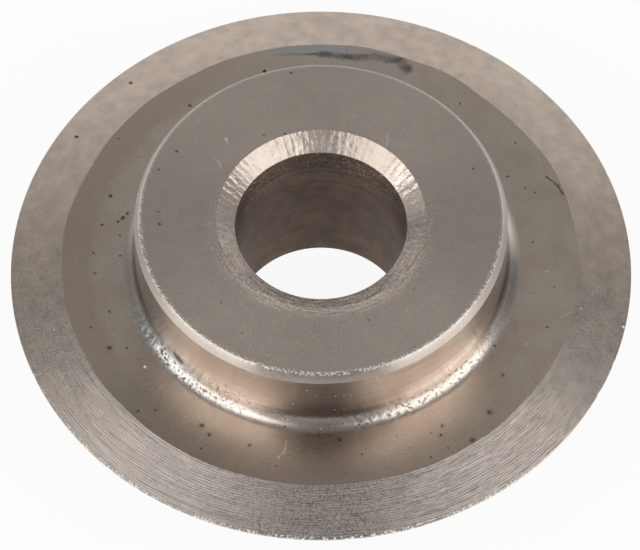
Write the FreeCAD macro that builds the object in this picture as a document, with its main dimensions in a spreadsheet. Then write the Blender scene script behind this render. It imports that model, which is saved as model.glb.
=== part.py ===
# Pipe cutter wheel: one piece of hardened tool steel, turned and ground about one axis.
# Sizes are in millimetres. The origin is the centre of the bore, in the plane of the
# cutting edge, and +Z runs along the bore. The halves above and below that plane are
# alike, and the wheel rests on the flat face of its hub.
import FreeCAD, Part
import math
import os

import Sketcher

# Driving dimensions: name, value and meaning
DIMENSIONS = [
    ("bore_diameter", "9.1", "hole for the axle pin"),
    ("bore_chamfer_width", "1.0", "countersink at each end of the bore, measured radially"),
    ("bore_chamfer_depth", "0.7", "the same countersink, measured along the bore"),
    ("hub_diameter", "19.8", "outside of the hub"),
    ("hub_width", "11.0", "from one hub face to the other"),
    ("hub_chamfer_width", "0.28", "broken outer edge of the hub, measured radially"),
    ("hub_chamfer_depth", "0.5", "the same edge, measured along the bore"),
    ("root_radius", "0.75", "fillet where the hub meets the web"),
    ("web_thickness", "2.1", "flat disc between the hub and the ground bevels"),
    ("edge_exposure", "6.6", "how far the edge stands out past the hub, the depth of its cut"),
    ("edge_angle", "41", "included angle of the two bevels, in degrees"),
    ("edge_land", "0.08", "blunt width left at the cutting edge"),
]

document = FreeCAD.newDocument("PipeCutterWheel")

sheet = document.addObject("Spreadsheet::Sheet", "Sizes")
for row, (name, value, meaning) in enumerate(DIMENSIONS, start=1):
    sheet.set(f"A{row}", name)
    sheet.set(f"B{row}", value)
    sheet.set(f"C{row}", meaning)
    sheet.setAlias(f"B{row}", name)
document.recompute()


def size(name):
    """A driving dimension, read back from the sheet."""
    return float(sheet.get(name))


# The outline of the section starts at the bore, runs outwards over the upper half, crosses
# the blunt edge, and comes back over the lower half. These are the upper lines, in order.
UPPER_LINES = ["bore_chamfer", "hub_face", "hub_chamfer", "hub_wall", "web_face", "bevel"]
HORIZONTAL_AXIS = -1
ORIGIN = (-1, 1)
END_NUMBER = {"start": 1, "end": 2}
OPPOSITE = {"start": "end", "end": "start"}


def upper(name, end):
    """One end of a line of the upper half."""
    return (UPPER_LINES.index(name), END_NUMBER[end])


def lower(name, end):
    """The mirror image of that end, on the lower half, where the lines run the other way."""
    line = 2 * len(UPPER_LINES) - UPPER_LINES.index(name)
    return (line, END_NUMBER[OPPOSITE[end]])


def upper_corners():
    """Corners of the upper half as (radius, height). The dimensions fix their final place."""
    bore = size("bore_diameter") / 2
    hub = size("hub_diameter") / 2
    top = size("hub_width") / 2
    web = size("web_thickness") / 2
    exposure = size("edge_exposure")
    return [
        (bore, top - size("bore_chamfer_depth")),
        (bore + size("bore_chamfer_width"), top),
        (hub - size("hub_chamfer_width"), top),
        (hub, top - size("hub_chamfer_depth")),
        (hub, web),
        (hub + exposure / 2, web),
        (hub + exposure, size("edge_land") / 2),
    ]


def draw_outline(sketch):
    """Draws the closed outline and joins its lines end to end."""
    above = upper_corners()
    below = [(radius, -height) for radius, height in reversed(above)]
    corners = [FreeCAD.Vector(radius, height, 0) for radius, height in above + below]
    followers = corners[1:] + corners[:1]
    for corner, follower in zip(corners, followers):
        sketch.addGeometry(Part.LineSegment(corner, follower), False)
    count = len(corners)
    for line in range(count):
        this_end = (line, END_NUMBER["end"])
        next_start = ((line + 1) % count, END_NUMBER["start"])
        sketch.addConstraint(Sketcher.Constraint("Coincident", *this_end, *next_start))


def square_outline(sketch):
    """Squares the faces to the bore and makes the lower half mirror the upper half."""
    sketch.addConstraint(Sketcher.Constraint("Horizontal", UPPER_LINES.index("hub_face")))
    sketch.addConstraint(Sketcher.Constraint("Horizontal", UPPER_LINES.index("web_face")))
    sketch.addConstraint(Sketcher.Constraint("Vertical", UPPER_LINES.index("hub_wall")))
    mirrored = [(name, "start") for name in UPPER_LINES] + [("bevel", "end")]
    for name, end in mirrored:
        pair = (*upper(name, end), *lower(name, end))
        sketch.addConstraint(Sketcher.Constraint("Symmetric", *pair, HORIZONTAL_AXIS))


def dimension(sketch, name, kind, first, second, expression):
    """Adds one dimension between two points of the outline and ties it to the sheet."""
    value = sketch.evalExpression(expression)
    if kind == "Angle":
        value = math.radians(value)
    index = sketch.addConstraint(Sketcher.Constraint(kind, *first, *second, value))
    sketch.renameConstraint(index, name)
    sketch.setExpression(f"Constraints.{name}", expression)


def size_outline(sketch):
    """Dimensions the outline. Widths are measured radially and depths along the bore."""
    wide = "DistanceX"
    deep = "DistanceY"
    bore_wall = upper("bore_chamfer", "start")
    hub_wall = upper("hub_wall", "start")
    dimension(sketch, "bore_radius", wide, ORIGIN, bore_wall, "Sizes.bore_diameter / 2")
    dimension(sketch, "hub_radius", wide, ORIGIN, hub_wall, "Sizes.hub_diameter / 2")
    spans = [
        ("bore_chamfer_width", wide, upper("bore_chamfer", "start"), upper("bore_chamfer", "end")),
        ("bore_chamfer_depth", deep, upper("bore_chamfer", "start"), upper("bore_chamfer", "end")),
        ("hub_width", deep, lower("hub_face", "start"), upper("hub_face", "start")),
        ("hub_chamfer_width", wide, upper("hub_chamfer", "start"), upper("hub_chamfer", "end")),
        ("hub_chamfer_depth", deep, upper("hub_chamfer", "end"), upper("hub_chamfer", "start")),
        ("web_thickness", deep, lower("web_face", "start"), upper("web_face", "start")),
        ("edge_exposure", wide, upper("web_face", "start"), upper("bevel", "end")),
        ("edge_angle", "Angle", upper("bevel", "end"), lower("bevel", "end")),
        ("edge_land", deep, lower("bevel", "end"), upper("bevel", "end")),
    ]
    for name, kind, first, second in spans:
        dimension(sketch, name, kind, first, second, f"Sizes.{name}")


def round_edges(shape, radius, height, tolerance=1e-6):
    """Names of the circular edges of this radius, this far above or below the origin."""
    found = []
    for number, edge in enumerate(shape.Edges, start=1):
        if not isinstance(edge.Curve, Part.Circle):
            continue
        radius_error = abs(edge.Curve.Radius - radius)
        height_error = abs(abs(edge.Curve.Center.z) - height)
        if max(radius_error, height_error) < tolerance:
            found.append(f"Edge{number}")
    return found


# The wheel is turned from one blank, so its whole section is one outline spun about the bore.
wheel = document.addObject("PartDesign::Body", "CutterWheel")
wheel.Label = "cutter_wheel"
section_plane = next(part for part in wheel.Origin.OriginFeatures if part.Role == "XZ_Plane")
section = wheel.newObject("Sketcher::SketchObject", "WheelSection")
section.AttachmentSupport = (section_plane, [""])
section.MapMode = "FlatFace"
draw_outline(section)
square_outline(section)
size_outline(section)

blank = wheel.newObject("PartDesign::Revolution", "TurnedBlank")
blank.Profile = (section, [""])
blank.ReferenceAxis = (section, ["V_Axis"])
blank.Angle = 360
document.recompute()

# The grinding wheel that faces the web leaves a rounded corner at the foot of the hub.
foot_edges = round_edges(blank.Shape, size("hub_diameter") / 2, size("web_thickness") / 2)
roots = wheel.newObject("PartDesign::Fillet", "HubRoots")
roots.Base = (blank, foot_edges)
roots.setExpression("Radius", "Sizes.root_radius")
document.recompute()

# Nothing is written unless the model is sound.
for item in document.Objects:
    if "Invalid" in item.State or "Error" in item.State:
        raise RuntimeError(f"{item.Name} failed: {item.State}")
if not section.FullyConstrained:
    raise RuntimeError("the section has sizes that nothing sets")
if roots.Shape.Volume <= blank.Shape.Volume:
    raise RuntimeError("the root fillets added no metal")
if wheel.Shape.isNull() or not wheel.Shape.isValid():
    raise RuntimeError("the wheel has no valid shape")

os.makedirs("parts", exist_ok=True)
wheel.Shape.exportStep(f"parts/{wheel.Label}.step")
box = wheel.Shape.BoundBox
print(f"wheel {box.XLength:.2f} x {box.YLength:.2f} x {box.ZLength:.2f} mm")
print(f"solids {len(wheel.Shape.Solids)}, volume {wheel.Shape.Volume:.1f} cubic mm")
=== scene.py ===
# %% [markdown]
# # The wheel of a pipe cutter
#
# The real thing is one disc of tool steel. A lathe turns it from bar: a bore for the axle pin,
# a thick hub, and a thin web that ends in a sharp edge. It is hardened, and the edge is ground.
# Almost everything that the eye reads as steel here comes from three things: the shape is round
# about one axis, every tool mark runs round that axis, and the metal mirrors a pale studio.
#
# The lesson follows that order: the section, the metal's relief, the finish, then the studio.
# Lengths are written in millimetres and multiplied by MM, because Blender works in metres.

# %% Load the solid wheel
import math

import bpy
import numpy as np
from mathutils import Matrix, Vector


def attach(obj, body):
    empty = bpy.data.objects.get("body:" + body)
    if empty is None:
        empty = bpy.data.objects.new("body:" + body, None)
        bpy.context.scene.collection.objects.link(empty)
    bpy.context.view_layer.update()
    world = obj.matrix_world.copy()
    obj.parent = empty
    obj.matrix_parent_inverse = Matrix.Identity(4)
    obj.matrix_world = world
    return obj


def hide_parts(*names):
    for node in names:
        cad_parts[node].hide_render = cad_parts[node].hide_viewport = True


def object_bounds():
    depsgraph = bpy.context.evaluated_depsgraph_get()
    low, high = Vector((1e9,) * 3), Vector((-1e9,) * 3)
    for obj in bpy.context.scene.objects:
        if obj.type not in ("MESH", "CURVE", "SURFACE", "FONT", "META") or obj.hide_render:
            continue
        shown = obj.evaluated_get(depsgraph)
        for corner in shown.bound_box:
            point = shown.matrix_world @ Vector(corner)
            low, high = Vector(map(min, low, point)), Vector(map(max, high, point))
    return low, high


MM = 0.001

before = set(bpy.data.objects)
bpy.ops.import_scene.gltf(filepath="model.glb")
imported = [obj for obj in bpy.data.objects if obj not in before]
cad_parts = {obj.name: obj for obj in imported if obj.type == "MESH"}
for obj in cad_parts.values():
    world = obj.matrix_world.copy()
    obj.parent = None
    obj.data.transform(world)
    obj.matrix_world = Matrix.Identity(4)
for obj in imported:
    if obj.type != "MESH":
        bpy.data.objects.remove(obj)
cad_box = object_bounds()
print("solid wheel, low and high corner:", cad_box)

# %% [markdown]
# ## The section
#
# A turned part is known by its section, the outline that the lathe follows. The solid already has
# one, so its sizes are read from there: the bore is the smallest radius, the edge the largest,
# and so on. Typing the sizes again would work too, but then a change of the solid would leave
# this wheel behind.

# %% Read the section's sizes off the solid
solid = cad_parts["cutter_wheel"]
points = np.array([tuple(vertex.co) for vertex in solid.data.vertices])
radii = np.hypot(points[:, 0], points[:, 1]).round(6)
heights = points[:, 2].round(6)

bore_radius = radii.min()
edge_radius = radii.max()
hub_top = heights.max()
bore_end = heights[radii == bore_radius].max()
face_inner = radii[heights == hub_top].min()
face_outer = radii[heights == hub_top].max()
hub_radius = radii[heights > hub_top / 2].max()
chamfer_foot = heights[radii == hub_radius].max()
web_top = heights[radii > (hub_radius + edge_radius) / 2].max()
bevel_inner = radii[heights == web_top].max()
root_radius = radii[heights == web_top].min() - hub_radius
edge_land = heights[radii == edge_radius].max()
print(f"edge {edge_radius / MM:.2f}, hub {hub_radius / MM:.2f}, bore {bore_radius / MM:.2f} mm")

# %% [markdown]
# ## Corners that catch the light
#
# No corner of real steel is sharp: the tool, the tumbling drum and years of use each leave a small
# radius, and that radius is the bright line that draws the shape. A Bevel modifier could add it.
# Here the corners are rounded in the section itself, because the mesh is spun from the section
# anyway, and so the foot of the hub is only one more corner with a larger radius.


# %% Round one corner of the section
def unit(vectors):
    """The same vectors with length 1."""
    return vectors / np.linalg.norm(vectors, axis=-1, keepdims=True)


def rounded_corner(before, corner, after, radius, steps):
    """Points of the arc that rounds a corner, from its one side to its other side."""
    back = unit(before - corner)
    forward = unit(after - corner)
    half_angle = np.arccos(np.clip(back @ forward, -1, 1)) / 2
    centre = corner + unit(back + forward) * radius / np.sin(half_angle)
    first = corner + back * radius / np.tan(half_angle) - centre
    last = corner + forward * radius / np.tan(half_angle) - centre
    turn = np.pi - 2 * half_angle
    share = np.linspace(0, 1, steps + 1)[:, None]
    arc = np.sin((1 - share) * turn) * first + np.sin(share * turn) * last
    return centre + arc / np.sin(turn)


# %% [markdown]
# ## Walk the section
#
# The upper half is walked from the middle of the bore to the cutting edge. Each stretch is a
# straight run and the rounded corner at its end. Every step becomes a ring of faces, and the wheel
# has a budget of them, so a run gets many steps where it has much to show, and the steps draw
# together near a corner that wears: a pull above 1 gathers them at the run's end.

# %% Walk half the section
# Name, radius, height, rounding, steps along the run, pull towards its end, steps round the corner
STRETCHES = [
    ("bore", bore_radius, bore_end, 0.05 * MM, 6, 1.6, 2),
    ("countersink", face_inner, hub_top, 0.06 * MM, 7, 1.0, 3),
    ("hub_face", face_outer, hub_top, 0.03 * MM, 6, 2.2, 2),
    ("hub_chamfer", hub_radius, chamfer_foot, 0.05 * MM, 3, 1.0, 2),
    ("hub_wall", hub_radius, web_top, root_radius, 8, 1.6, 10),
    ("web", bevel_inner, web_top, 0.05 * MM, 6, 1.6, 2),
    ("bevel", edge_radius, edge_land, 0.02 * MM, 9, 1.8, 2),
]


def walk_half():
    """Points of half the section, and the number of the point that ends each run and corner."""
    corners = [(bore_radius, 0.0)] + [row[1:3] for row in STRETCHES] + [(edge_radius, 0.0)]
    corners = np.array(corners)
    path = [corners[0]]
    ends = {}
    for index, (name, _, _, rounding, run_steps, pull, arc_steps) in enumerate(STRETCHES, start=1):
        arc = rounded_corner(*corners[index - 1 : index + 2], rounding, arc_steps)
        share = 1 - (1 - np.linspace(0, 1, run_steps + 1)[1:-1, None]) ** pull
        start = path[-1]
        path.extend(start + share * (arc[0] - start))
        ends[name] = len(path)
        path.extend(arc)
        ends[name + "_round"] = len(path) - 1
    path.append(corners[-1])
    return np.array(path), ends


half_section, ends = walk_half()
print("points in half a section:", len(half_section))

# %% [markdown]
# The lower half mirrors the upper one. The walk goes up the bore, out over the hub and the web,
# round the edge and back underneath, so it closes on itself like the wire of a lathe template.
# The distance walked so far is kept too. It places every mark that follows, in the relief and in
# the finish: a mark at 6 mm of walk is on the hub's face.

# %% Close the section and measure the walk
section = np.concatenate([half_section, half_section[-2:0:-1] * (1, -1)])
steps = np.linalg.norm(np.roll(section, -1, axis=0) - section, axis=1)
walked = np.concatenate([[0], np.cumsum(steps)[:-1]]) / MM
whole_walk = steps.sum() / MM
folded_walk = np.minimum(walked, whole_walk - walked)
underneath = walked > whole_walk / 2
border = {name: walked[point] for name, point in ends.items()}
corner_at = {row[0]: (border[row[0]] + border[row[0] + "_round"]) / 2 for row in STRETCHES}
print({name: round(float(distance), 2) for name, distance in corner_at.items()})

along = unit(np.roll(section, -1, axis=0) - np.roll(section, 1, axis=0))
outward = np.stack([-along[:, 1], along[:, 0]], axis=-1)

# %% [markdown]
# ## Spokes
#
# The section is spun through a ring of spokes. Directions round the wheel are given as azimuths:
# 0 degrees is the near side, +90 the right side, and the spokes start and end at the back, where
# the seam of the map lies. A real section is not the same at every spoke: grinding wheels are fed
# by hand, cutters chatter and edges chip. Wavy lines that close on themselves describe all that.

# %% Spokes and wavy lines round the turn
SPOKES = 720
azimuth = np.linspace(-np.pi, np.pi, SPOKES, endpoint=False)
chance = np.random.default_rng(41)


def waves(fewest, most):
    """A random wavy line round the turn, from -1 to 1, that closes on itself."""
    counts = np.arange(fewest, most + 1)[:, None]
    starts = chance.uniform(0, 2 * np.pi, counts.shape)
    line = np.cos(counts * azimuth + starts).sum(axis=0)
    return line / np.abs(line).max()


def off_azimuth(degrees):
    """Angle from each spoke to an azimuth, the short way round."""
    return (azimuth - math.radians(degrees) + np.pi) % (2 * np.pi) - np.pi


def around(degrees, spread):
    """1 at an azimuth, falling smoothly to nothing about two spreads to either side."""
    return np.exp(-((off_azimuth(degrees) / math.radians(spread)) ** 2))


def near_corner(name, before, after):
    """1 on the rings at a corner, falling to 0 at these distances before and after it."""
    place = corner_at[name]
    return np.interp(folded_walk, [place - before, place, place + after], [0, 1, 0])[:, None]


print(f"a spoke every {360 / SPOKES} degrees")

# %% [markdown]
# ## Corners that wander
#
# Three corners of this wheel are uneven. The inner end of each bevel wavers where the grinding
# wheel bit deeper, most of all at the back. The outer edge of the hub's face carries a ragged
# little burr. The countersink's outer edge is scalloped, which comes with the scoops below. The
# rings near the other two slide inwards along wavy lines, less with the distance from the corner,
# and the upper and lower sides get different lines.

# %% Slide the rings near uneven corners
BEVEL_WANDER = 0.30
BEVEL_RIPPLE = 0.03
BURR = 0.03
slide = np.zeros((len(section), SPOKES))


def bevel_shift():
    """How far the bevel's inner end moves towards the hub, in millimetres."""
    slow = 0.5 + 0.5 * waves(5, 22)
    quick = 0.5 + 0.5 * waves(50, 150)
    reach = 0.2 + around(128, 34) + 0.6 * around(-132, 22)
    return (BEVEL_WANDER * slow + BEVEL_RIPPLE * quick) * reach


def burr_shift():
    """How far the outer edge of the hub's face is eaten away, in millimetres."""
    return BURR * (0.5 + 0.5 * waves(60, 240)) * (0.4 + around(10, 60))


for side in (~underneath, underneath):
    rows = side[:, None]
    slide -= rows * bevel_shift() * near_corner("web", 1.5, 0.55)
    slide -= rows * burr_shift() * near_corner("hub_face", 0.5, 0.12)
print(f"largest slide {-slide.min():.3f} mm")

# %% [markdown]
# ## Chatter in the countersink
#
# The countersink was cut with a tool that chattered: about eighty shallow scoops run down its
# slope with low ridges between them, none quite upright, and they scallop its outer edge. A bump
# map would shade them but leave the edge round, so they are cut into the rings.

# %% Cut the scoops
SCOOPS = 83
SCOOP_DEPTH = 0.013
SCOOP_LEAN = 3.6


def scoops():
    """Depth of the chatter marks in millimetres, at every ring and spoke."""
    across = (folded_walk - corner_at["bore"]) / (corner_at["countersink"] - corner_at["bore"])
    across = across[:, None]
    drift = 3.0 * waves(3, 11) + 1.1 * waves(12, 40)
    lean = SCOOP_LEAN * waves(1, 5)
    phase = SCOOPS * azimuth + drift + lean * across
    scooped = 0.5 + 0.5 * np.cos(phase) + 0.18 * np.cos(2 * phase + 1.0)
    uneven = 0.6 + 0.4 * waves(8, 60)
    inside = np.interp(across, [-0.1, 0.1, 1.02, 1.15], [0, 0.6, 1, 0])
    return SCOOP_DEPTH * np.clip(scooped, 0, 2) * uneven * inside


relief = -scoops()
print(f"deepest scoop {-relief.min():.3f} mm")

# %% [markdown]
# ## Pits
#
# Rust has eaten small pits where the hub meets the web: in two patches on the near side, and all
# round underneath. These are wide enough for the mesh, so they are real. The same numbers are kept
# as an attribute of the mesh, so that the finish can darken exactly those places.


# %% Sink the pits
def pit(degrees, distance, width, height, slant):
    """One round or long pit, from 0 outside to 1 in its middle."""
    right = off_azimuth(degrees)[None, :] * section[:, :1] / MM
    up = folded_walk[:, None] - distance
    right, up = right + slant * up, up - slant * right
    return np.exp(-((right / width) ** 2 + (up / height) ** 2))


def patch_of_pits(count, first, last, nearest, farthest):
    """Random pits between two azimuths and two distances."""
    total = np.zeros_like(relief)
    for _ in range(count):
        degrees = chance.uniform(first, last)
        distance = chance.triangular(nearest, (nearest + farthest) / 2, farthest)
        width = chance.uniform(0.06, 0.14)
        height = width * chance.uniform(0.5, 1.1)
        slant = chance.uniform(-0.6, 0.6)
        depth = chance.uniform(0.3, 1)
        total = np.maximum(total, pit(degrees, distance, width, height, slant) * depth)
    return total


FOOT = border["hub_wall_round"]
PIT_DEPTH = 0.025
LARGEST_PIT = 1.6
LEFT_PITS = 70
RIGHT_PITS = 52
LOWER_PITS = 60
upper_pits = patch_of_pits(LEFT_PITS, -74, -26, FOOT - 0.9, FOOT + 0.02)
upper_pits = np.maximum(upper_pits, patch_of_pits(RIGHT_PITS, 6, 52, FOOT - 0.9, FOOT + 0.02))
# Above 1 a pit is cut off at the full depth, so the largest one has a flat bottom
largest_pit = LARGEST_PIT * pit(-49.8, border["hub_wall"], width=0.45, height=0.24, slant=0.1)
upper_pits = np.maximum(upper_pits, largest_pit)
lower_pits = patch_of_pits(LOWER_PITS, -180, 180, FOOT - 0.9, FOOT + 0.02)
pitted = np.where(underneath[:, None], lower_pits, upper_pits)
relief -= PIT_DEPTH * np.minimum(pitted, 1)
print("pits:", LEFT_PITS + RIGHT_PITS + LOWER_PITS + 1)

# %% [markdown]
# ## The cutting edge
#
# The edge has rolled through many pipes. It is worn back a little, unevenly, and has lost small
# chips. Rings outside the worn line are pulled in to it, so each chip is a notch in the outline.

# %% Wear the edge
EDGE_WORN = 0.010
EDGE_NICK = 0.012
# Chips as azimuth and half width in degrees, and depth in millimetres
CHIPS = [(-67, 0.45, 0.03), (-36, 0.45, 0.04), (29, 0.45, 0.03), (63, 0.6, 0.04), (70, 0.5, 0.03)]
CHIPS += [(-22, 0.4, 0.03), (112, 0.5, 0.02), (-171, 0.5, 0.03), (151, 0.5, 0.03)]


def edge_shift():
    """How far the cutting edge is worn back, in millimetres."""
    worn = EDGE_WORN * (0.5 + 0.5 * waves(90, 300)) * (0.1 + around(0, 80) * waves(5, 20) ** 2)
    for degrees, width, depth in CHIPS:
        worn = np.maximum(worn, depth * around(degrees, width))
    return worn + chance.random(SPOKES) ** 14 * EDGE_NICK * (0.1 + around(0, 80))


worn_edge = edge_radius / MM - edge_shift()
print(f"deepest chip {edge_radius / MM - worn_edge.min():.3f} mm")

# %% [markdown]
# ## Spin the section
#
# The Screw modifier would spin the section too. Here it is written out as a grid of rings and
# spokes, so that the relief can move each point.


# %% Ring and spoke grid
def spin():
    """Points of the wheel, as [ring, spoke, xyz], with relief, slides and wear."""
    moved = section[:, None] + outward[:, None] * relief[:, :, None] * MM
    radius = np.minimum(moved[:, :, 0] + slide * MM, worn_edge * MM)
    x = radius * np.sin(azimuth)
    y = radius * -np.cos(azimuth)
    return np.stack([x, y, moved[:, :, 1]], axis=-1)


def quads(rings, spokes):
    """Corner numbers of the faces of a closed grid, with their outward side out."""
    ring = np.arange(rings)[:, None]
    spoke = np.arange(spokes)[None, :]
    next_ring = (ring + 1) % rings
    next_spoke = (spoke + 1) % spokes
    corners = [
        ring * spokes + spoke,
        ring * spokes + next_spoke,
        next_ring * spokes + next_spoke,
        next_ring * spokes + spoke,
    ]
    return np.stack(corners, axis=-1).reshape(-1, 4)


def map_layout(rings, spokes):
    """The map of the wheel: across it the turn, up it the distance walked, both from 0 to 1."""
    left = np.broadcast_to(np.arange(spokes) / spokes, (rings, spokes))
    right = left + 1 / spokes
    ladder = np.append(walked, whole_walk) / whole_walk
    low = np.broadcast_to(ladder[:-1, None], (rings, spokes))
    high = np.broadcast_to(ladder[1:, None], (rings, spokes))
    corners = [(left, low), (right, low), (right, high), (left, high)]
    return np.stack([np.stack(corner, axis=-1) for corner in corners], axis=2)


# %% [markdown]
# Smooth shading needs one normal at each point. Blender's own gives the thin strips of a rounded
# corner as much say as the wide face beside them, so the face would look dished. The normals here
# are weighed by area: the cross product of a quad's diagonals grows with its area by itself.


# %% Normals weighed by area
def weighed_normals(grid):
    """Unit normals of the grid's points, each face counting by its area."""
    across = np.roll(grid, -1, axis=0)
    beside = np.roll(grid, -1, axis=1)
    opposite = np.roll(across, -1, axis=1)
    faces = np.cross(beside - across, opposite - grid)
    total = faces + np.roll(faces, 1, axis=0)
    total = total + np.roll(total, 1, axis=1)
    return unit(total)


# %% Build the wheel
grid = spin()
rings, spokes = grid.shape[:2]
mesh = bpy.data.meshes.new("ground_wheel")
mesh.from_pydata(grid.reshape(-1, 3).tolist(), [], quads(rings, spokes).tolist())
layout = map_layout(rings, spokes).ravel().astype(np.float32)
mesh.uv_layers.new(name="OFBake").data.foreach_set("uv", layout)
grime = mesh.attributes.new("pitted", "FLOAT", "POINT")
grime.data.foreach_set("value", pitted.ravel().astype(np.float32))
mesh.shade_smooth()
mesh.validate()
mesh.normals_split_custom_set_from_vertices(weighed_normals(grid).reshape(-1, 3).tolist())

wheel = bpy.data.objects.new("ground_wheel", mesh)
bpy.context.scene.collection.objects.link(wheel)
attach(wheel, "root")
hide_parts("cutter_wheel")
print("rings", rings, "triangles", 2 * len(mesh.polygons))

# %% [markdown]
# ## A bench for finishes
#
# A finish is a sum: so much of these rings, less that stain, on this stretch only. Written with
# nodes alone such a sum is hard to read. The class below wraps a socket so that plain arithmetic
# adds the Math nodes, and the bench adds every other node from its type, settings and sockets.


# %% Values that can be added up
class Value:
    """A socket of a finish. Arithmetic on it adds the Math nodes."""

    def __init__(self, bench, socket):
        self.bench = bench
        self.socket = socket

    def out(self, name):
        """Another socket of the node that this one belongs to."""
        return Value(self.bench, self.socket.node.outputs[name])

    def __add__(self, other):
        return self.bench.math("ADD", self, other)

    def __sub__(self, other):
        return self.bench.math("SUBTRACT", self, other)

    def __rsub__(self, other):
        return self.bench.math("SUBTRACT", other, self)

    def __mul__(self, other):
        return self.bench.math("MULTIPLY", self, other)

    def __truediv__(self, other):
        return self.bench.math("DIVIDE", self, other)

    def __rtruediv__(self, other):
        return self.bench.math("DIVIDE", other, self)

    __radd__ = __add__
    __rmul__ = __mul__


# %% A bench that adds nodes
class Bench:
    """A node tree, emptied, to which nodes are added one by one."""

    def __init__(self, owner):
        owner.use_nodes = True
        self.tree = owner.node_tree
        self.tree.nodes.clear()

    def node(self, kind, settings, inputs, output=0):
        """Adds a node: its settings first, then the values or links of its sockets."""
        node = self.tree.nodes.new(kind)
        for name, setting in settings.items():
            setattr(node, name, setting)
        for name, given in inputs.items():
            if isinstance(given, Value):
                self.tree.links.new(given.socket, node.inputs[name])
            else:
                node.inputs[name].default_value = given
        return Value(self, node.outputs[output]) if node.outputs else None

    def math(self, operation, *terms):
        """One Math node."""
        return self.node("ShaderNodeMath", {"operation": operation}, dict(enumerate(terms)))

    def vector(self, operation, *terms, output=0):
        """One Vector Math node."""
        settings = {"operation": operation}
        return self.node("ShaderNodeVectorMath", settings, dict(enumerate(terms)), output)

    def rise(self, value, start, end):
        """0 up to the start, 1 from the end on, smooth between them. Swapped ends fall."""
        inputs = {"Value": value, "From Min": start, "From Max": end}
        return self.node("ShaderNodeMapRange", {"interpolation_type": "SMOOTHSTEP"}, inputs)

    def blend(self, share, under, over):
        """One colour, with a share of another laid over it."""
        inputs = {0: share, 6: under, 7: over}
        return self.node("ShaderNodeMix", {"data_type": "RGBA"}, inputs, 2)

    def shade(self, colour, strength):
        """A colour made darker or lighter."""
        inputs = {0: colour, "Scale": strength}
        return self.node("ShaderNodeVectorMath", {"operation": "SCALE"}, inputs)

    def cloud(self, place, scale, detail, seed):
        """Soft noise, mostly from 0.3 to 0.7."""
        moved = self.vector("ADD", place, (seed, seed, seed))
        inputs = {"Vector": moved, "Scale": scale, "Detail": detail}
        return self.node("ShaderNodeTexNoise", {}, inputs)


# %% [markdown]
# ## Places on the wheel
#
# Tool marks follow the turn, so they need the map: the turn as a circle, and the walk in
# millimetres. Pits, stains and hairlines don't, so they use the plain place in space. The walk is
# folded for the zones, which are alike above and below, and unfolded for the marks, which are not.

# %% Coordinates
steel = bpy.data.materials.new("ground_steel")
mesh.materials.append(steel)
bench = Bench(steel)
rise, blend, shade, cloud = bench.rise, bench.blend, bench.shade, bench.cloud

map_place = bench.node("ShaderNodeUVMap", {"uv_map": "OFBake"}, {})
map_parts = bench.node("ShaderNodeSeparateXYZ", {}, {0: map_place})
turn = (map_parts.out("X") - 0.5) * (2 * math.pi)
walk_on = map_parts.out("Y") * whole_walk
walk = bench.math("MINIMUM", walk_on, whole_walk - walk_on)
turn_right = bench.math("SINE", turn)
turn_near = bench.math("COSINE", turn)

object_place = bench.node("ShaderNodeTexCoord", {}, {}, "Object")
place_mm = shade(object_place, 1 / MM)
place_parts = bench.node("ShaderNodeSeparateXYZ", {}, {0: place_mm})
right_mm, back_mm, up_mm = (place_parts.out(name) for name in "XYZ")
top_side = rise(up_mm, -0.01, 0.01)
print("nodes for the coordinates:", len(bench.tree.nodes))

# %% [markdown]
# A zone is a mask: 1 on one stretch of the section and 0 on the rest. Each gives way to the next
# over a few hundredths of a millimetre, and only the foot of the hub fades slowly at both ends,
# because its stains do.

# %% Zones
SOFT = 0.03
foot_start = border["hub_wall"]
foot_end = border["hub_wall_round"]


def stretch(name, before):
    """1 on a stretch of the section, 0 on the others."""
    inside = rise(walk, corner_at[name] + SOFT, corner_at[name] - SOFT)
    return inside * rise(walk, corner_at[before] - SOFT, corner_at[before] + SOFT)


on_bore = rise(walk, corner_at["bore"] + SOFT, corner_at["bore"] - SOFT)
on_countersink = stretch("countersink", "bore")
on_face = stretch("hub_face", "countersink")
on_chamfer = stretch("hub_chamfer", "hub_face")
on_wall = stretch("hub_wall", "hub_chamfer") * rise(walk, foot_start + 0.35, foot_start)
on_foot = rise(walk, foot_start - 0.05, foot_start + 0.35)
on_foot = on_foot * rise(walk, foot_end + 0.1, foot_end - 0.35)
on_web = stretch("web", "hub_wall")
on_bevel = rise(walk, corner_at["web"] - SOFT, corner_at["web"] + SOFT)
print(f"the foot runs from {foot_start:.2f} to {foot_end:.2f} mm of walk")

# %% [markdown]
# ## Rings left by the tools
#
# Grinding leaves very fine rings, too fine for the mesh. Noise looked up at a place that moves
# slowly round the turn and quickly across it is drawn out into rings, which start, fade and cross
# like real ones. Where it moves faster round the turn, the rings break into short dashes. The
# evenly spaced marks of the feed are a plain sine along the walk. All are plainest on the near
# half of the bevel, where the wheel has been touched up, and blurred by wear on the rest.


# %% Rings
def facing(degrees, spread):
    """1 on the spokes at an azimuth, 0 from one spread away."""
    lean_right = turn_right * math.sin(math.radians(degrees))
    lean_near = turn_near * math.cos(math.radians(degrees))
    return rise(lean_right + lean_near, math.cos(math.radians(spread)), 1.0)


def ring_noise(round_turn, per_mm, detail, seed):
    """Noise drawn out into rings: slow round the turn, quick across the rings."""
    place = {0: turn_right * round_turn, 1: turn_near * round_turn, 2: walk_on * per_mm}
    return cloud(bench.node("ShaderNodeCombineXYZ", {}, place), 1, detail, seed)


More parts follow.
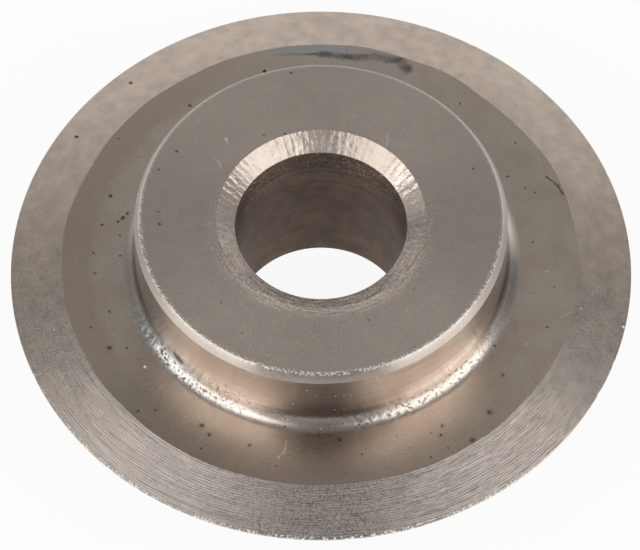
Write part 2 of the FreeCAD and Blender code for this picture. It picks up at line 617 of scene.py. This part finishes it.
FEED = 0.135
FEED_DRIFT = 16
fine_rings = ring_noise(round_turn=5, per_mm=21, detail=1, seed=1)
wide_rings = ring_noise(round_turn=1.6, per_mm=4, detail=3, seed=2)
dashes = ring_noise(round_turn=24, per_mm=16, detail=1, seed=9)
drift = ring_noise(round_turn=3, per_mm=0.6, detail=2, seed=21)
feed_marks = bench.math("SINE", walk_on * (2 * math.pi / FEED) + drift * FEED_DRIFT)
touched_up = on_bevel * rise(facing(-3, 74), 0.0, 0.5) * (1 - 0.25 * facing(-5, 35))
print(f"feed marks every {FEED} mm")

# %% [markdown]
# ## Stains, pits and speckle
#
# Old steel is never one colour. Oil and rust leave a brown film in soft blotches, and small pits
# show as dark dots. A Voronoi texture has one point in each cell: a pit there, with a random size
# that is below nothing in most cells, gives a natural scatter. Pits on the flat zones lie in the
# plane. On the wall they lie in space, because in the plane they would smear into upright lines.
# The place in the plane trembles a little, so that no pit is quite round and no scratch straight.

# %% Blotches and speckle
TREMBLE = 0.2
blotches = cloud(place_mm, scale=0.5, detail=3, seed=5)
small_blotches = cloud(place_mm, scale=1.3, detail=3, seed=6)
speckle = cloud(place_mm, scale=8, detail=1, seed=7)
waver_inputs = {"Vector": place_mm, "Scale": 5.0, "Detail": 1.0}
waver = bench.node("ShaderNodeTexNoise", {}, waver_inputs, "Color")
waver = bench.vector("SUBTRACT", waver, (0.5, 0.5, 0.5))
flat_place = bench.node("ShaderNodeCombineXYZ", {}, {0: right_mm, 1: back_mm})
ragged_place = bench.vector("MULTIPLY_ADD", waver, (TREMBLE, TREMBLE, 0), flat_place)
print("nodes so far:", len(bench.tree.nodes))


# %% Scattered pits
def cells(place, dimensions, per_mm, seed):
    """Cells scattered over a plane or through space, and the place that they are looked up at."""
    moved = bench.vector("ADD", place, (seed, 2 * seed, 0))
    kind = {"voronoi_dimensions": dimensions}
    return moved, bench.node("ShaderNodeTexVoronoi", kind, {"Vector": moved, "Scale": per_mm})


def scattered(place, dimensions, per_mm, share, widest, seed):
    """Scattered spots: 1 in a spot. The share is the part of the cells that have one."""
    _, cell = cells(place, dimensions, per_mm, seed)
    luck = bench.node("ShaderNodeSeparateColor", {}, {0: cell.out("Color")})
    size = (luck - (1 - share)) * (widest / share)
    return rise(size - cell / per_mm, 0.0, widest * 0.5)


SMALL_PIT = 0.12
TINY_PIT = 0.075
WALL_PIT = 0.10
SPARK = 0.055
small_pits = scattered(ragged_place, "2D", per_mm=0.9, share=0.14, widest=SMALL_PIT, seed=3)
tiny_pits = scattered(ragged_place, "2D", per_mm=2.2, share=0.09, widest=TINY_PIT, seed=11)
wall_pits = scattered(place_mm, "3D", per_mm=2, share=0.6, widest=WALL_PIT, seed=43)
sparks = scattered(place_mm, "3D", per_mm=4, share=0.7, widest=SPARK, seed=37)
print(f"scattered pits up to {2 * SMALL_PIT} mm across, sparks up to {2 * SPARK} mm")

# %% [markdown]
# Hairlines are short straight scratches at every angle. The same cells carry them: each cell
# turns its own place by a random angle, and a thin band across that place is the scratch.

# %% Hairlines
HAIR_BEND = 0.4
HAIR_REACH = 0.5
HAIR_WIDTH = 0.028


def hairlines(per_mm, share, length, width, seed):
    """Scattered hairlines: 1 on a line. The share is the part of the cells that have one."""
    moved, cell = cells(ragged_place, "2D", per_mm, seed)
    luck = bench.node("ShaderNodeSeparateColor", {}, {0: cell.out("Color")})
    angle = luck.out("Green") * math.pi
    sine, cosine = bench.math("SINE", angle), bench.math("COSINE", angle)
    offset = bench.vector("SUBTRACT", moved, cell.out("Position"))
    parts = bench.node("ShaderNodeSeparateXYZ", {}, {0: offset})
    ahead = parts.out("X") * cosine + parts.out("Y") * sine
    beside = parts.out("Y") * cosine - parts.out("X") * sine + ahead * ahead * HAIR_BEND
    thin = rise(bench.math("ABSOLUTE", beside), width, 0.2 * width)
    reach = luck.out("Blue") * length
    ended = rise(bench.math("ABSOLUTE", ahead), reach, reach * 0.3)
    return thin * ended * bench.math("GREATER_THAN", luck, 1 - share)


face_hairs = hairlines(per_mm=1.1, share=0.32, length=HAIR_REACH, width=HAIR_WIDTH, seed=31)
print(f"hairlines up to {2 * HAIR_REACH} mm long")

# %% [markdown]
# ## Marks that the wheel is known by
#
# Some marks have their own place, in millimetres to the right and to the back of the bore's
# middle: a bright hooked scratch and a dark one on the web, small bright ones here and there, two
# fine cracks in the bevel, the larger pits, and a few specks of lint. At the back lies a dark
# ragged smear of old cutting oil with a bluish band. The lower side has none of them.


# %% Scratches and cracks
def placed_line(start, end, width):
    """One scratch or stain between two places: 1 along its middle."""
    run = (end[0] - start[0], end[1] - start[1], 0)
    square = run[0] ** 2 + run[1] ** 2
    unit_run = (run[0] / square, run[1] / square, 0)
    offset = bench.vector("SUBTRACT", ragged_place, (*start, 0))
    share = bench.vector("DOT_PRODUCT", offset, unit_run, output="Value")
    nearest = shade(run, bench.node("ShaderNodeClamp", {}, {0: share}))
    distance = bench.vector("DISTANCE", offset, nearest, output="Value")
    return rise(distance, width, 0.2 * width)


def most(values):
    """The largest of several masks."""
    largest = values[0]
    for value in values[1:]:
        largest = bench.math("MAXIMUM", largest, value)
    return largest


# Start, end and half width
LIGHT_SCRATCHES = [
    ((-2.3, -12.1), (-1.95, -11.75), 0.06),
    ((-1.95, -11.75), (-1.8, -11.05), 0.05),
    ((12.75, -3.4), (13.2, -3.1), 0.07),
    ((3.45, 4.55), (3.6, 5.3), 0.05),
    ((-5.05, 5.05), (-4.95, 4.75), 0.08),
    ((-5.7, 3.75), (-5.35, 3.45), 0.05),
    ((-5.35, 3.45), (-5.25, 3.15), 0.05),
    ((11.9, -0.6), (12.1, -0.5), 0.08),
    ((-15.25, -6.4), (-14.85, -6.35), 0.06),
    ((10.8, -5.1), (11.0, -5.0), 0.06),
]
DARK_SCRATCHES = [
    ((12.0, 5.4), (12.45, 5.05), 0.09),
    ((12.45, 5.05), (12.9, 4.35), 0.10),
]
BEVEL_CRACKS = [
    ((-3.2, -15.3), (-3.25, -15.6), 0.04),
    ((-3.25, -15.6), (-3.2, -16.0), 0.035),
    ((1.6, -15.15), (2.1, -15.4), 0.03),
    ((2.1, -15.4), (2.45, -15.7), 0.03),
]
light_scratches = most([placed_line(*line) for line in LIGHT_SCRATCHES]) * top_side
dark_scratches = most([placed_line(*line) for line in DARK_SCRATCHES + BEVEL_CRACKS]) * top_side
print("scratches and cracks:", len(LIGHT_SCRATCHES + DARK_SCRATCHES + BEVEL_CRACKS))


# %% Larger pits and lint
def placed_pit(right, back, radius):
    """How far inside a pit a place lies: 2 in its middle, 1 at its rim, less outside."""
    distance = bench.vector("DISTANCE", ragged_place, (right, back, 0), output="Value")
    return 2 - distance / radius


# Millimetres to the right, to the back, and radius
WEB_PITS = [
    (12.4, -1.5, 0.08), (11.3, 1.3, 0.09), (12.0, -4.0, 0.07), (9.6, -7.0, 0.08),
    (8.9, -9.3, 0.15), (8.0, -11.0, 0.15), (6.4, -10.1, 0.09), (6.3, -10.7, 0.09),
    (-11.2, -5.3, 0.16), (-6.3, -10.1, 0.12), (-5.9, -10.65, 0.11), (-3.8, -11.3, 0.09),
    (-8.75, -9.15, 0.08), (1.0, -10.95, 0.12), (-11.65, 2.4, 0.12), (-11.2, 4.2, 0.13),
    (-11.2, -3.05, 0.10), (-7.0, 9.9, 0.13), (-10.55, 2.8, 0.17), (-10.3, 3.1, 0.12),
    (-10.7, 1.7, 0.08), (-10.7, 0.45, 0.10), (-12.1, 0.65, 0.09), (-12.0, -0.65, 0.08),
    (-12.2, -4.05, 0.09), (-10.3, -5.3, 0.08), (9.95, 5.4, 0.09), (10.4, 7.5, 0.08),
    (10.9, 4.7, 0.09), (7.45, 10.0, 0.09),
]
FACE_PITS = [(-7.65, 4.2, 0.14), (-8.55, -0.35, 0.12), (-1.6, 9.15, 0.12), (-7.45, 0.55, 0.07)]
BEVEL_PITS = [(-13.05, 8.3, 0.15), (-10.2, 11.75, 0.15)]
LINT = [(-9.3, -6.5, 0.10), (-14.1, -3.95, 0.06), (13.8, -2.75, 0.05), (-5.05, 4.95, 0.06)]
LINT += [(16.05, -3.4, 0.12)]

in_pits = most([placed_pit(*place) for place in WEB_PITS + FACE_PITS + BEVEL_PITS])
placed_pits = rise(in_pits, 0.9, 1.7) * top_side
rust_rims = rise(in_pits, 0.0, 1.2) * top_side * facing(0, 100)
lint = rise(most([placed_pit(*place) for place in LINT]), 0.9, 1.7) * top_side
print("placed pits:", len(WEB_PITS + FACE_PITS + BEVEL_PITS), "specks of lint:", len(LINT))

# %% Smear of old oil
SMEAR = [
    ((-2.8, 13.1), (0.0, 13.15), 0.14),
    ((0.0, 13.15), (1.3, 12.95), 0.32),
    ((1.3, 12.95), (2.9, 12.95), 0.30),
    ((2.9, 12.95), (4.25, 12.7), 0.36),
    ((4.25, 12.7), (4.6, 12.2), 0.46),
]
BLUE_BAND = ((-3.0, 13.5), (1.6, 13.55), 0.42)
SMEAR_MIDDLE = 1.0
smear = most([placed_line(*line) for line in SMEAR]) * top_side * on_web
smear = smear * (0.45 + 0.55 * rise(small_blotches, 0.30, 0.60)) * rise(right_mm, -3.4, 0.8)
from_smear = bench.math("ABSOLUTE", right_mm - SMEAR_MIDDLE)
smear_halo = rise(back_mm, 11.2, 12.6) * rise(from_smear, 4.2, 2.2) * on_web * top_side
blue_band = placed_line(*BLUE_BAND) * top_side
print("pieces of the smear:", len(SMEAR))

# %% [markdown]
# ## Colour of the steel
#
# Metal has no paint: its colour is the tint of what it mirrors. Fresh ground steel is a neutral
# grey. The web has a warm film of old oil, browner towards the bevel on the left, and the bore is
# brown with it. The near sides of the web and the bevel are painted darker, a painted shade.

# %% Web and bevel
WEB = (0.61, 0.53, 0.45, 1)
WEB_BROWN = (0.565, 0.475, 0.395, 1)
WEB_FILM = (0.49, 0.40, 0.335, 1)
WEB_NEAR_SHADED = (0.445, 0.363, 0.303, 1)
BLUE_GREY = (0.50, 0.51, 0.52, 1)
BEVEL = (0.59, 0.507, 0.44, 1)
BEVEL_BROWN = (0.595, 0.50, 0.425, 1)
BEVEL_NEAR_SHADED = (0.452, 0.41, 0.382, 1)

film_start = corner_at["web"] - 1.5
outer_film = rise(walk + small_blotches, film_start, film_start + 0.8) * facing(-110, 75)
web_colour = blend(rise(blotches, 0.38, 0.66), WEB, WEB_BROWN)
web_colour = blend(blue_band * 0.8, web_colour, BLUE_GREY)
web_colour = blend(outer_film * 0.8, web_colour, WEB_FILM)
# Painted shade: the near side of the web is painted darker.
web_colour = blend(facing(0, 75) * 0.8, web_colour, WEB_NEAR_SHADED)
bevel_colour = blend(rise(small_blotches, 0.3, 0.7), BEVEL, BEVEL_BROWN)
# Painted shade: the near side of the bevel is painted darker and greyer.
bevel_colour = blend(facing(0, 110), bevel_colour, BEVEL_NEAR_SHADED)
colour = blend(on_bevel, web_colour, bevel_colour)
print("nodes so far:", len(bench.tree.nodes))

# %% Hub and bore
FACE = (0.555, 0.485, 0.43, 1)
FACE_BROWN = (0.575, 0.49, 0.415, 1)
COUNTERSINK = (0.55, 0.483, 0.432, 1)
CHAMFER = (0.42, 0.372, 0.335, 1)
CHAMFER_NEAR_LIT = (0.475, 0.423, 0.385, 1)
WALL = (0.65, 0.578, 0.528, 1)
WALL_SHADED = (0.33, 0.29, 0.26, 1)
FOOT_METAL = (0.545, 0.497, 0.455, 1)
FOOT_COOL_REFLECTION = (0.54, 0.54, 0.53, 1)
FOOT_HIGHLIGHT = (1.0, 0.88, 0.77, 1)
BORE = (0.15, 0.112, 0.09, 1)
BORE_BROWN = (0.178, 0.126, 0.095, 1)

# Painted shade: the near middle of the hub's wall is painted darker towards its foot, for the dark
# that it mirrors there.
wall_near_shade = rise(walk, foot_start - 1.8, foot_start) * facing(4, 25) * 0.9
colour = blend(on_face, colour, blend(rise(small_blotches, 0.45, 0.65), FACE, FACE_BROWN))
colour = blend(on_countersink, colour, COUNTERSINK)
# Painted reflection: the hub's chamfer is painted lighter on the near side.
colour = blend(on_chamfer, colour, blend(facing(0, 105), CHAMFER, CHAMFER_NEAR_LIT))
colour = blend(on_wall, colour, blend(wall_near_shade, WALL, WALL_SHADED))
# Painted reflection: a cooler, greyer tint on the foot at the left, where the left soft box stands.
colour = blend(on_foot, colour, blend(facing(-56, 20), FOOT_METAL, FOOT_COOL_REFLECTION))
# Painted highlight: a warm, bright patch on the foot at the right, a little towards the back.
colour = blend(on_foot * facing(107, 18), colour, FOOT_HIGHLIGHT)
colour = blend(on_bore, colour, blend(rise(small_blotches, 0.4, 0.6), BORE, BORE_BROWN))
print("nodes so far:", len(bench.tree.nodes))

# %% [markdown]
# ## Lighter and darker
#
# The tone multiplies the colour. It sums the patterns, each as strong on every zone as its row
# says, and then shades round the turn. These shades are painted reflections: the steel is painted
# lighter where it mirrors the soft boxes and the bright back of the tent, as in the countersink and
# on the chamfer, and darker where it mirrors the dim gaps between them, as low on the wall at both
# sides. A row of them is how much lighter the steel is, at which azimuth, and how far round that
# fades.

# %% Smaller zones
mouth_end = corner_at["countersink"]
worn_ring = rise(walk, mouth_end + 0.9, mouth_end + 0.1) * on_face
rubbed = most([worn_ring, on_countersink]) * facing(0, 135)
bore_mouth = on_bore * top_side * rise(walk_on, 0.8, 4.4)
low_wall = on_wall * rise(walk, foot_start - 2.2, foot_start - 0.2)
high_wall = on_wall - low_wall
wall_bottom = on_wall * rise(walk, foot_start - 1.2, foot_start - 0.2)
outer_web = on_web * rise(walk, foot_end + 0.2, foot_end + 1.8)
inner_web = on_web - outer_web
print("nodes so far:", len(bench.tree.nodes))


# %% Patterns in the tone
def spread_over(shares):
    """A strength that differs by zone. Each row holds a strength and its zone."""
    total = 0
    for strength, zone in shares:
        total = total + strength * zone
    return total


def layered(patterns):
    """Patterns added up, each as strong on every zone as its row says."""
    total = 0
    for pattern, shares in patterns:
        total = total + (pattern - 0.5) * spread_over(shares)
    return total


EVERYWHERE = 1
GRAIN = [(0.14, EVERYWHERE), (-0.14, on_wall), (0.16, on_bevel), (0.32, touched_up)]
bevel_stains = rise(small_blotches, 0.36, 0.64)
TONE_PATTERNS = [
    (small_blotches, [(0.12, EVERYWHERE), (0.33, on_bevel), (-0.25, touched_up)]),
    (bevel_stains, [(0.035, on_bevel), (-0.035, touched_up)]),
    (speckle, GRAIN + [(1.2, rubbed), (1.2, bore_mouth)]),
    (fine_rings, [(0.2, on_bevel), (0.8, touched_up), (0.5, on_wall), (1.8, rubbed)]),
    (wide_rings, [(0.35, on_wall), (0.3, on_bore), (0.9, bore_mouth), (0.12, touched_up)]),
    (dashes, [(0.6, touched_up), (0.45, touched_up * facing(38, 40))]),
]
bore_streaks = on_bore * rise(wide_rings, 0.50, 0.68) * rise(walk, 2.4, corner_at["bore"])
tone = 1 + layered(TONE_PATTERNS)
tone = tone + 0.24 * feed_marks * touched_up * rise(wide_rings, 0.25, 0.6)
# Worn steel round the bore is lighter, and the near side of the countersink is painted darker:
# painted shade.
tone = tone + rubbed * (0.12 - 0.5 * on_countersink * facing(0, 75)) + 0.25 * bore_streaks
print("patterns in the tone:", len(TONE_PATTERNS))

# %% Painted reflections round the turn
# Zone, then rows of painted reflections: how much lighter, azimuth and spread
PAINTED_REFLECTIONS = [
    (on_bore, [(0.30, 95, 14), (0.30, -95, 14), (-0.12, 180, 36)]),
    (on_countersink, [(0.70, 111, 24), (-0.08, 156, 12), (0.14, 172, 12)]),
    (on_countersink, [(0.30, -171, 14), (-0.10, -118, 9), (0.26, -96, 32)]),
    (on_chamfer, [(0.14, -126, 32), (-0.12, -84, 14), (0.10, -52, 16), (-0.10, 12, 20)]),
    (on_chamfer, [(0.16, 54, 15), (-0.12, 82, 13), (0.14, 115, 32)]),
    (on_wall, [(0.10, -13, 18)]),
    (high_wall, [(0.12, -84, 18), (0.12, 84, 18)]),
    (low_wall, [(-0.35, -80, 20), (0.12, -30, 22), (0.36, 42, 20), (-0.35, 80, 20)]),
    (wall_bottom, [(-0.30, -84, 18), (-0.30, 84, 18)]),
    (on_foot, [(0.08, -68, 10), (0.15, -16, 18), (0.20, 61, 18), (-0.20, 80, 12)]),
    (inner_web, [(0.08, -24, 14), (-0.18, 4, 20)]),
    (outer_web, [(-0.22, -34, 30)]),
    (on_web, [(0.07, -155, 60), (0.06, 72, 40)]),
    (on_bevel, [(0.04, -15, 22), (-0.05, 40, 34), (0.06, 118, 40)]),
]
for zone, reflection_rows in PAINTED_REFLECTIONS:
    turned_reflections = [(lighter, facing(degrees, spread)) for lighter, degrees, spread in reflection_rows]
    tone = tone + zone * spread_over(turned_reflections)
colour = shade(colour, tone)
print("shades:", sum(len(reflection_rows) for _, reflection_rows in PAINTED_REFLECTIONS))

# %% [markdown]
# ## Dark marks
#
# Dark marks lie over the toned metal: scattered pits, placed pits with rusty rims, the pits that
# are in the mesh, rust crumbs along the foot, brown lines on the wall, and the smear.

# %% Pits, rust and smear
RUST = (0.26, 0.155, 0.095, 1)
PIT_DARK = (0.075, 0.062, 0.055, 1)
SMEAR_DARK = (0.13, 0.12, 0.115, 1)

pit_zone = on_web + on_face * 0.75
pits = most([small_pits * pit_zone, tiny_pits * pit_zone * (0.1 + 0.9 * facing(0, 105))])
mesh_pits = bench.node("ShaderNodeAttribute", {"attribute_name": "pitted"}, {}, "Fac")
rusty = facing(-50, 30) + facing(26, 28) * 0.8 + facing(-8, 30) * 0.35 + facing(56, 20) * 0.6
wall_rust = on_wall * rise(walk, foot_start - 1.3, foot_start) * facing(-36, 20)
crumbs = cloud(place_mm, scale=6, detail=2, seed=23) + 0.05 * facing(-62, 12)
crumbs = rise(crumbs, 0.53, 0.65) * most([on_foot * rusty, wall_rust * 0.7])
near_wall_pits = wall_pits * on_wall * facing(-5, 80)
dark = most([
    pits,
    placed_pits * 0.85,
    rise(mesh_pits, 0.3, 0.9) * 0.8,
    near_wall_pits * 0.6,
    crumbs * 0.8,
    dark_scratches * 0.7,
])
wall_lines = on_wall * rise(wide_rings, 0.54, 0.66) * (0.3 + 0.7 * facing(34, 30))
colour = blend(most([rust_rims * 0.5, wall_lines * 0.3]), colour, RUST)
colour = blend(dark, colour, PIT_DARK)
colour = blend(smear_halo * 0.25, colour, BLUE_GREY)
colour = blend(smear * 0.85, colour, SMEAR_DARK)
print("nodes so far:", len(bench.tree.nodes))

# %% [markdown]
# ## Bright marks
#
# Fresh metal shows where the skin is broken: burrs along the outer edge of the hub's face and
# along the cutting edge, sparks on the wall, the foot and the near bevel, flecks on the face and in
# the mouth of the bore, and scratches. The flecks on the burrs, the cutting edge, the wall, the
# foot, the near bevel and in the mouth of the bore are partly that broken metal and partly painted
# glints, kept to the sides where they catch the light. A bright ragged line along the outer edge of
# the hub's face, at the back and the sides, is a painted highlight of that worn edge. The cutting
# edge lies half way along the walk, and its flecks in a band 0.2 mm wide beside it.

# %% Flecks and scratches
FRESH_AND_GLINT = (0.80, 0.77, 0.73, 1)
LINT_AND_GLINT_WHITE = (0.85, 0.83, 0.79, 1)
edge_walk = whole_walk / 2

from_burr = bench.math("ABSOLUTE", walk - corner_at["hub_face"])
# Painted glints, partly real: white flecks on the burr, the cutting edge, the wall and the foot,
# only on the sides where they catch the light.
burr_glints = rise(speckle, 0.46, 0.58) * rise(from_burr, 0.17, 0.06)
burr_glints = burr_glints * rise(facing(-8, 122), 0.0, 0.5)
edge_glints = rise(speckle, 0.53, 0.62) * rise(walk, edge_walk - 0.22, edge_walk - 0.08)
edge_glints = edge_glints * facing(-8, 66)
wall_glints = sparks * most([on_wall, on_foot, touched_up * 0.6]) * facing(0, 75)
sparkle = most([edge_glints, burr_glints * 0.8, wall_glints * 0.8])

face_flecks = rise(speckle, 0.64, 0.70) * on_face * facing(-10, 130) * 0.45
# Painted glints, partly real: white flecks in the mouth of the bore, strongest at the sides.
glinting_sides = 0.25 * facing(180, 125) + facing(128, 45) + 0.8 * facing(-115, 40)
bore_glints = rise(speckle, 0.62, 0.70) * on_bore * top_side * rise(walk_on, 1.8, 4.4)
bore_glints = bore_glints * glinting_sides * 0.6
# Painted highlight: a bright ragged line along the worn outer edge of the hub's face, at the back
# and the sides.
worn_edge_highlight = rise(from_burr - (speckle - 0.5) * 0.2, 0.15, 0.06)
worn_edge_highlight = worn_edge_highlight * rise(facing(180, 118), 0.0, 0.4) * 0.65
fresh_and_glints = most([light_scratches, sparkle, face_flecks, bore_glints, worn_edge_highlight])
fresh_and_glints = most([fresh_and_glints * 0.85, face_hairs * on_face * 0.5])
colour = blend(fresh_and_glints, colour, FRESH_AND_GLINT)
colour = blend(most([lint, edge_glints]), colour, LINT_AND_GLINT_WHITE)
print("nodes so far:", len(bench.tree.nodes))

# %% [markdown]
# ## Roughness and bump
#
# Ground steel is satin. The bevel is rougher than the web, and the bore roughest. The height is
# in millimetres, and the Bump node's distance of MM turns it into metres, so the slopes are true:
# a ring 0.15 mm wide and 0.003 mm high leans by a few degrees, like a real one.

# %% Roughness
ROUGHNESS = [
    (0.30, EVERYWHERE),
    (0.17, on_bevel),
    (0.06, on_face),
    (0.25, on_bore),
    (-0.08, on_wall),
    (0.11, on_countersink),
    (0.10, rubbed),
    (0.30, dark),
]
roughness = spread_over(ROUGHNESS) + layered([(blotches, [(0.12, EVERYWHERE)]), (speckle, GRAIN)])
print("zones in the roughness:", len(ROUGHNESS))

# %% Bump
beaten = cloud(place_mm, scale=2.6, detail=2, seed=17)
HEIGHTS = [
    (fine_rings, [(0.0010, EVERYWHERE), (0.0030, touched_up)]),
    (wide_rings, [(0.003, on_wall), (0.002, on_bore)]),
    (speckle, [(0.0015, EVERYWHERE), (-0.0015, on_wall), (0.0015, on_bevel), (0.004, rubbed)]),
    (beaten, [(0.042, on_countersink)]),
]
bump_inputs = {"Distance": MM, "Height": layered(HEIGHTS)}
bump = bench.node("ShaderNodeBump", {}, bump_inputs, "Normal")
print("patterns in the bump:", len(HEIGHTS))

# %% [markdown]
# Lint and the brightest flecks scatter light like a dull thing, so they are less metallic. The
# rings stretch every highlight across themselves: that is the anisotropy, the same all over.

# %% The steel
ANISOTROPY = 0.6
ACROSS_THE_RINGS = 0.25
surface = bench.node("ShaderNodeBsdfPrincipled", {}, {
    "Base Color": colour,
    "Metallic": 1 - most([lint, sparkle * 0.85]),
    "Roughness": roughness,
    "Normal": bump,
    "Anisotropic": ANISOTROPY,
    "Anisotropic Rotation": ACROSS_THE_RINGS,
})
bench.node("ShaderNodeOutputMaterial", {}, {"Surface": surface})
print("nodes in the steel:", len(bench.tree.nodes))

# %% [markdown]
# ## The studio
#
# The wheel lies on white paper. The paper takes the wheel's shadow, and for the camera and for
# reflections it also glows a little, so that it reads as white without more light on the steel.

# %% Floor
FLOOR_SIZE = 6.0
FLOOR_GAP = 0.02 * MM
PAPER_GLOW = 0.92
floor_corner = FLOOR_SIZE / 2
floor_mesh = bpy.data.meshes.new("floor")
floor_points = [(-1, -1, 0), (1, -1, 0), (1, 1, 0), (-1, 1, 0)]
floor_points = [tuple(floor_corner * part for part in point) for point in floor_points]
floor_mesh.from_pydata(floor_points, [], [(0, 1, 2, 3)])
floor = bpy.data.objects.new("floor", floor_mesh)
floor.location.z = cad_box[0].z - FLOOR_GAP
bpy.context.scene.collection.objects.link(floor)

paper = bpy.data.materials.new("paper")
floor_mesh.materials.append(paper)
paper_bench = Bench(paper)
ray = paper_bench.node("ShaderNodeLightPath", {}, {}, "Is Camera Ray")
seen = paper_bench.math("MAXIMUM", ray, ray.out("Is Glossy Ray"))
seen = paper_bench.math("MAXIMUM", seen, ray.out("Is Transmission Ray"))
white = paper_bench.node("ShaderNodeBsdfDiffuse", {}, {"Color": (0.9, 0.9, 0.9, 1)})
glow = paper_bench.node("ShaderNodeEmission", {}, {"Strength": 1.0})
glowing = {0: seen * PAPER_GLOW, 1: white, 2: glow}
paper_surface = paper_bench.node("ShaderNodeMixShader", {}, glowing)
paper_bench.node("ShaderNodeOutputMaterial", {}, {"Surface": paper_surface})
print(f"paper {FLOOR_GAP / MM} mm under the wheel")

# %% [markdown]
# Metal shows the room more than itself. This room is a pale tent, brightest low down at the back,
# where the white sweep stands, dimmer overhead, and dimmest where the camera stands.

# %% Tent
TENT = 0.30
TENT_SWEEP = 1.35
TENT_OVERHEAD = 0.14
TENT_CAMERA_SIDE = -0.07
CAMERA_ELEVATION = math.radians(58.36)
tent = bpy.data.worlds.new("tent")
bpy.context.scene.world = tent
tent_bench = Bench(tent)
direction = tent_bench.node("ShaderNodeTexCoord", {}, {}, "Generated")
direction_parts = tent_bench.node("ShaderNodeSeparateXYZ", {}, {0: direction})
backward, upward = direction_parts.out("Y"), direction_parts.out("Z")
sweep = tent_bench.rise(upward, 0.97, 0.12) * tent_bench.rise(backward, 0.48, 0.95)
overhead = tent_bench.rise(backward, 0.25, 0.50) * tent_bench.rise(upward, 0.65, 0.85)
to_camera = upward * math.sin(CAMERA_ELEVATION) - backward * math.cos(CAMERA_ELEVATION)
camera_side = tent_bench.rise(to_camera, 0.90, 0.99)
strength = TENT + TENT_SWEEP * sweep + TENT_OVERHEAD * overhead + TENT_CAMERA_SIDE * camera_side
background = tent_bench.node("ShaderNodeBackground", {}, {"Strength": strength})
tent_bench.node("ShaderNodeOutputWorld", {}, {"Surface": background})
print(f"tent {TENT:.2f}, and {TENT + TENT_SWEEP:.2f} at the sweep")

# %% [markdown]
# Two tall soft boxes stand to the left and right. They draw the bright fans on the bevel, the
# bright hub edge and the warm light that the hub's wall and the web throw at each other.

# %% Soft boxes
SOFTBOX_AZIMUTH = 58.5
SOFTBOX_ELEVATION = 31
SOFTBOX_DISTANCE = 0.6
SOFTBOX_WIDTH = 0.60
SOFTBOX_HEIGHT = 0.75
SOFTBOX_BRIGHTNESS = 2.0
WARM_WHITE = (1.0, 0.97, 0.94)


def softbox(name, azimuth_degrees):
    """A large soft lamp that faces the wheel."""
    light = bpy.data.lights.new(name, "AREA")
    light.shape = "RECTANGLE"
    light.size = SOFTBOX_WIDTH
    light.size_y = SOFTBOX_HEIGHT
    light.energy = SOFTBOX_BRIGHTNESS * math.pi * SOFTBOX_WIDTH * SOFTBOX_HEIGHT
    light.color = WARM_WHITE
    lamp = bpy.data.objects.new(name, light)
    side, lift = math.radians(azimuth_degrees), math.radians(SOFTBOX_ELEVATION)
    flat = math.cos(lift)
    aim = Vector((math.sin(side) * flat, -math.cos(side) * flat, math.sin(lift)))
    lamp.location = aim * SOFTBOX_DISTANCE
    lamp.rotation_euler = aim.to_track_quat("Z", "Y").to_euler()
    lamp.visible_camera = False
    bpy.context.scene.collection.objects.link(lamp)
    print(f"{name} of {light.energy:.2f} W")


softbox("left_softbox", -SOFTBOX_AZIMUTH)
softbox("right_softbox", SOFTBOX_AZIMUTH)

# %% [markdown]
# ## The camera
#
# A long lens from far away, looking down at 58 degrees: the far and the near side of the wheel
# come out almost equally wide.

# %% Camera
CAMERA_DISTANCE = 825 * MM
CAMERA_LENS = 872.4
AIM_RIGHT = -0.053 * MM
AIM_UP = -0.096 * MM
camera = bpy.data.objects.new("camera", bpy.data.cameras.new("camera"))
camera.data.lens = CAMERA_LENS
camera.data.sensor_width = 36
camera.data.clip_end = 100
towards = Vector((0, -math.cos(CAMERA_ELEVATION), math.sin(CAMERA_ELEVATION)))
up = Vector((0, math.sin(CAMERA_ELEVATION), math.cos(CAMERA_ELEVATION)))
camera.location = towards * CAMERA_DISTANCE + Vector((AIM_RIGHT, 0, 0)) + up * AIM_UP
camera.rotation_euler = towards.to_track_quat("Z", "Y").to_euler()
bpy.context.scene.collection.objects.link(camera)
bpy.context.scene.camera = camera
bpy.context.scene.view_settings.view_transform = "Standard"
print(f"camera {CAMERA_DISTANCE / MM:.0f} mm away, lens {CAMERA_LENS} mm")
